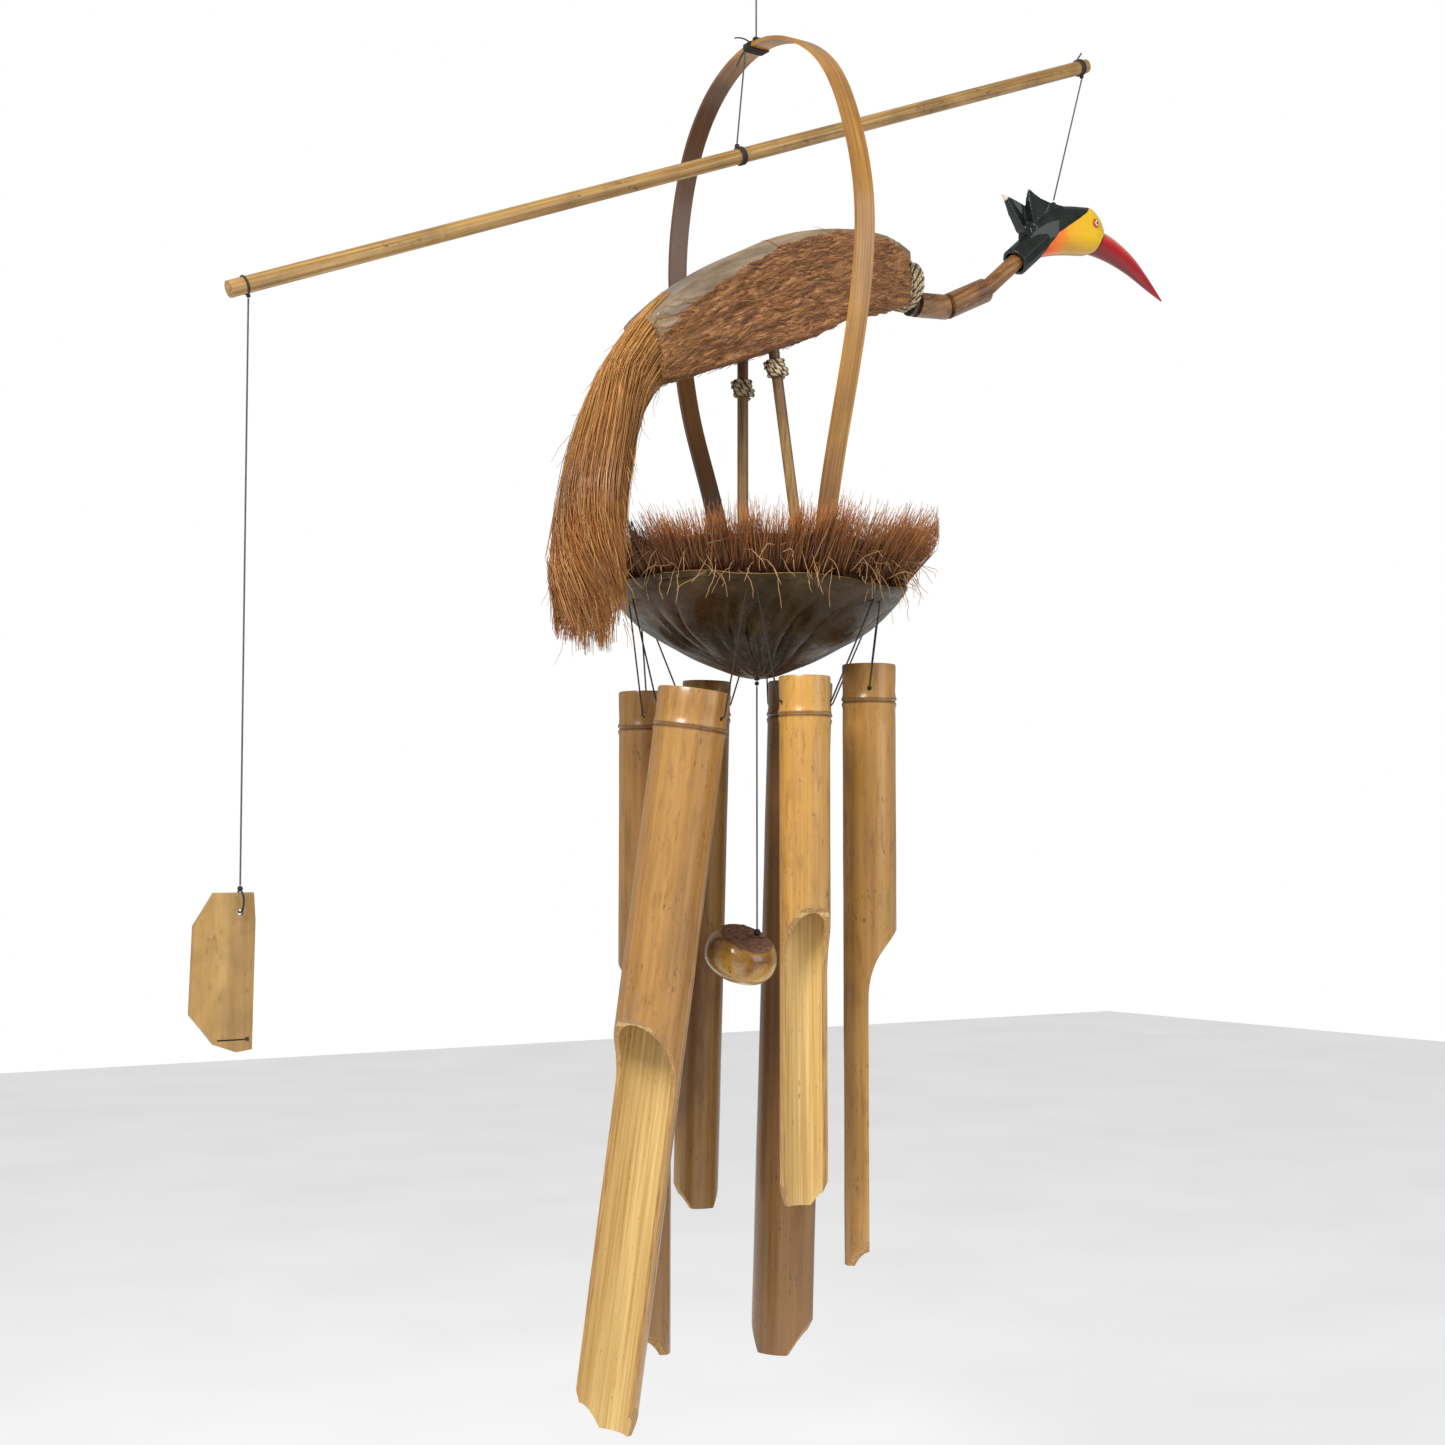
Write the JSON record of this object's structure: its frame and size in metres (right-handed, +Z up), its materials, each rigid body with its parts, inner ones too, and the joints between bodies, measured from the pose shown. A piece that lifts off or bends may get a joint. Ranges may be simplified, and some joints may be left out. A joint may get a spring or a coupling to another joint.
{
  "type": "hanging wind chime",
  "caption": "Hanging bamboo wind chime: a coconut-husk bird on a husk nest nods as the wind moves a sail on a balance beam, and tubes ring on a hung clapper.",
  "frame": {"origin": "centre of the steel hanging ring at the very top", "axes": "+Z up, +X the way the bird faces, +Y to the bird's left"},
  "size_m": [0.8175, 0.263, 1.0425],
  "materials": {
    "ring_steel": "plain drawn wire",
    "dark_thread": "waxed dark thread",
    "pale_thread": "thin grey-brown thread",
    "hoop_bamboo": "bent bamboo strip, clear varnish",
    "stick_bamboo": "bamboo stick, satin varnish",
    "tube_bamboo": "honey bamboo, clear varnish",
    "neck_bamboo": "dark varnished bamboo",
    "collar_dark": "dark stained wood",
    "husk_fibre": "raw coconut husk fibre",
    "husk_skin": "smooth dried husk skin, satin",
    "shell_dark": "dark varnished coconut husk skin",
    "coir": "brushed loose coir fibre",
    "tail_coir": "golden coir fibre",
    "twine": "natural and dark twisted twine",
    "painted_black": "carved wood, gloss paint, black crown and yellow-orange face",
    "crest_black": "carved wood, gloss black, bare tip",
    "beak_red": "carved wood, gloss red paint",
    "eye_paint": "painted eye, white with black pupil and red ring",
    "clapper_shell": "polished coconut shell",
    "sail_bamboo": "mottled bamboo slat, varnished"
  },
  "bodies": {
    "ring": {"hanging_ring": "ring_steel"},
    "line": {"ring_loop": "dark_thread", "hanging_cord": "pale_thread"},
    "frame": {"hoop": "hoop_bamboo", "hoop_lashing": "dark_thread", "bowl_shell": "shell_dark", "bowl_fringe": "coir", "bowl_lacing": "dark_thread", "tip_knot": "dark_thread", "leg_near": "stick_bamboo", "leg_far": "stick_bamboo", "knee_knot_near": "twine", "knee_knot_far": "twine", "body_husk": "husk_fibre", "back_skin": "husk_skin", "tail": "tail_coir", "neck_wrap": "twine", "neck_collar": "collar_dark"},
    "beam_line": {"beam_cord": "pale_thread"},
    "balance_beam": {"beam": "stick_bamboo", "beam_knot": "dark_thread", "beam_tip_knot": "dark_thread", "sail_loop": "dark_thread"},
    "sail_line": {"sail_cord": "pale_thread"},
    "wind_sail": {"sail": "sail_bamboo", "sail_knot": "dark_thread"},
    "head_line": {"head_cord": "pale_thread"},
    "neck_root": {"neck_cord_1": "dark_thread"},
    "neck_1": {"neck_segment_1": "neck_bamboo", "neck_cord_2": "dark_thread"},
    "neck_2": {"neck_segment_2": "neck_bamboo"},
    "neck_3": {"neck_segment_3": "neck_bamboo"},
    "bird_head": {"head": "painted_black", "crest": "crest_black", "beak": "beak_red", "eye_left": "eye_paint", "eye_right": "eye_paint", "crown_knot": "dark_thread"},
    "clapper_link": {"clapper_loop": "dark_thread"},
    "clapper_hang": {"clapper_cord": "pale_thread", "clapper": "clapper_shell", "clapper_knot": "dark_thread"},
    "chime_1": {"tube_1": "tube_bamboo", "tube_1_tongue": "tube_bamboo", "chime_cord_1": "dark_thread"},
    "chime_2": {"tube_2": "tube_bamboo", "chime_cord_2": "dark_thread"},
    "chime_3": {"tube_3": "tube_bamboo", "chime_cord_3": "dark_thread"},
    "chime_4": {"tube_4": "tube_bamboo", "chime_cord_4": "dark_thread"},
    "chime_5": {"tube_5": "tube_bamboo", "chime_cord_5": "dark_thread"},
    "chime_6": {"tube_6": "tube_bamboo", "chime_cord_6": "dark_thread"}
  },
  "joints": [
    {"name": "whole_swing", "type": "hinge", "parent": "ring", "child": "line", "pos_m": [0, 0, -0.009], "axis": [0, 1, 0], "range_deg": [-15, 15]},
    {"name": "whole_turn", "type": "hinge", "parent": "line", "child": "frame", "pos_m": [0, 0, -0.045], "axis": [0, 0, 1], "continuous": true},
    {"name": "beam_turn", "type": "hinge", "parent": "frame", "child": "beam_line", "pos_m": [-0.0097, 0, -0.06], "axis": [0, 0, 1], "range_deg": [-6, 6]},
    {"name": "beam_tilt", "type": "hinge", "parent": "beam_line", "child": "balance_beam", "pos_m": [-0.01677, 0, -0.12884], "axis": [0, 1, 0], "range_deg": [-4, 5]},
    {"name": "sail_swing", "type": "hinge", "parent": "balance_beam", "child": "sail_line", "pos_m": [-0.38209, 0, -0.29175], "axis": [0, 1, 0], "range_deg": [-20, 20]},
    {"name": "sail_turn", "type": "hinge", "parent": "sail_line", "child": "wind_sail", "pos_m": [-0.38209, 0, -0.66], "axis": [0, 0, 1], "continuous": true},
    {"name": "head_thread_sway", "type": "hinge", "parent": "balance_beam", "child": "head_line", "pos_m": [0.31908, 0, -0.00911], "axis": [0, 1, 0], "range_deg": [-12.2, 9.8]},
    {"name": "neck_yaw", "type": "hinge", "parent": "frame", "child": "neck_root", "pos_m": [0.1445, 0, -0.222], "axis": [0, 0, 1], "range_deg": [-13, 13]},
    {"name": "neck_nod_1", "type": "hinge", "parent": "neck_root", "child": "neck_1", "pos_m": [0.1445, 0, -0.222], "axis": [0, 1, 0], "range_deg": [-8.5, 10.5]},
    {"name": "neck_nod_2", "type": "hinge", "parent": "neck_1", "child": "neck_2", "pos_m": [0.176, 0, -0.2195], "axis": [0, 1, 0], "range_deg": [-3.3, 4]},
    {"name": "neck_nod_3", "type": "hinge", "parent": "neck_2", "child": "neck_3", "pos_m": [0.215, 0, -0.2005], "axis": [0, 1, 0], "range_deg": [-1.7, 2]},
    {"name": "neck_nod_4", "type": "hinge", "parent": "neck_3", "child": "bird_head", "pos_m": [0.2485, 0, -0.1715], "axis": [0, 1, 0], "range_deg": [-3.5, 2.9]},
    {"name": "clapper_swing_side", "type": "hinge", "parent": "frame", "child": "clapper_link", "pos_m": [0, 0, -0.518], "axis": [1, 0, 0], "range_deg": [-5.5, 5.5]},
    {"name": "clapper_swing_fore", "type": "hinge", "parent": "clapper_link", "child": "clapper_hang", "pos_m": [0, 0, -0.518], "axis": [0, 1, 0], "range_deg": [-5.5, 5.5]},
    {"name": "chime_swing_1", "type": "hinge", "parent": "frame", "child": "chime_1", "pos_m": [-0.07899, -0.03517, -0.4545], "axis": [-0.4067, 0.9135, 0], "range_deg": [-2, 12]},
    {"name": "chime_swing_2", "type": "hinge", "parent": "frame", "child": "chime_2", "pos_m": [-0.06995, 0.05082, -0.4545], "axis": [0.5878, 0.809, 0], "range_deg": [-2, 12]},
    {"name": "chime_swing_3", "type": "hinge", "parent": "frame", "child": "chime_3", "pos_m": [0.00904, 0.08599, -0.4545], "axis": [0.9945, -0.1045, 0], "range_deg": [-2, 12]},
    {"name": "chime_swing_4", "type": "hinge", "parent": "frame", "child": "chime_4", "pos_m": [0.07332, 0.04582, -0.4545], "axis": [0.5299, -0.848, 0], "range_deg": [-2, 12]},
    {"name": "chime_swing_5", "type": "hinge", "parent": "frame", "child": "chime_5", "pos_m": [-0.01501, -0.08515, -0.4545], "axis": [-0.9848, 0.1736, 0], "range_deg": [-2, 12]},
    {"name": "chime_swing_6", "type": "hinge", "parent": "frame", "child": "chime_6", "pos_m": [0.06995, -0.05082, -0.4545], "axis": [-0.5878, -0.809, 0], "range_deg": [-2, 12]}
  ],
  "couplings": [
    {"joint": "neck_yaw", "follows": "beam_turn", "ratio": 2.05},
    {"joint": "neck_nod_1", "follows": "beam_tilt", "ratio": 2},
    {"joint": "neck_nod_2", "follows": "beam_tilt", "ratio": 0.7},
    {"joint": "neck_nod_3", "follows": "beam_tilt", "ratio": 0.3},
    {"joint": "neck_nod_4", "follows": "beam_tilt", "ratio": -0.6},
    {"joint": "head_thread_sway", "follows": "beam_tilt", "ratio": -2.33}
  ]
}
